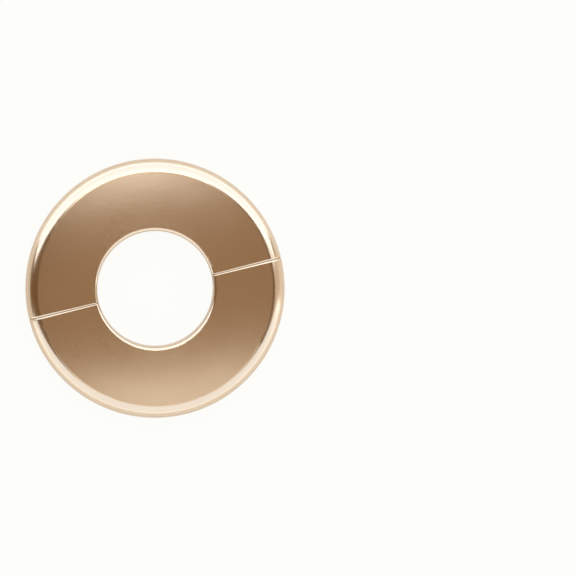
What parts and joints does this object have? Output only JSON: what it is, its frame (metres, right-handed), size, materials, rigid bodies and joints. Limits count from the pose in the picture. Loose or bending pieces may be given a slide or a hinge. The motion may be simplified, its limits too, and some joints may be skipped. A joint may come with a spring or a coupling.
{
  "type": "radiator pipe collar",
  "caption": "Round domed sheet metal collar for a radiator pipe, split across the middle into like halves that snap together with keyhole fork clips and studs.",
  "frame": {"origin": "centre of the pipe in the plane of the back rim, which lies against the wall or floor", "axes": "+Z along the pipe, away from the wall; +X along the seam; +Y across the seam, towards the second half"},
  "size_m": [0.076, 0.076, 0.008],
  "materials": {
    "champagne_steel": "satin",
    "spring_steel": "satin",
    "stud_steel": "satin"
  },
  "bodies": {
    "first_half": {"first_half_shell": "champagne_steel", "first_fork_clip": "spring_steel", "first_catch_stud": "stud_steel"},
    "second_half": {"second_half_shell": "champagne_steel", "second_fork_clip": "spring_steel", "second_catch_stud": "stud_steel"}
  },
  "joints": [
    {"name": "pull_apart", "type": "slide", "parent": "first_half", "child": "second_half", "axis": [0, 1, 0], "range_m": [0, 0.04], "deforming": ["first_fork_clip", "second_fork_clip"]}
  ]
}
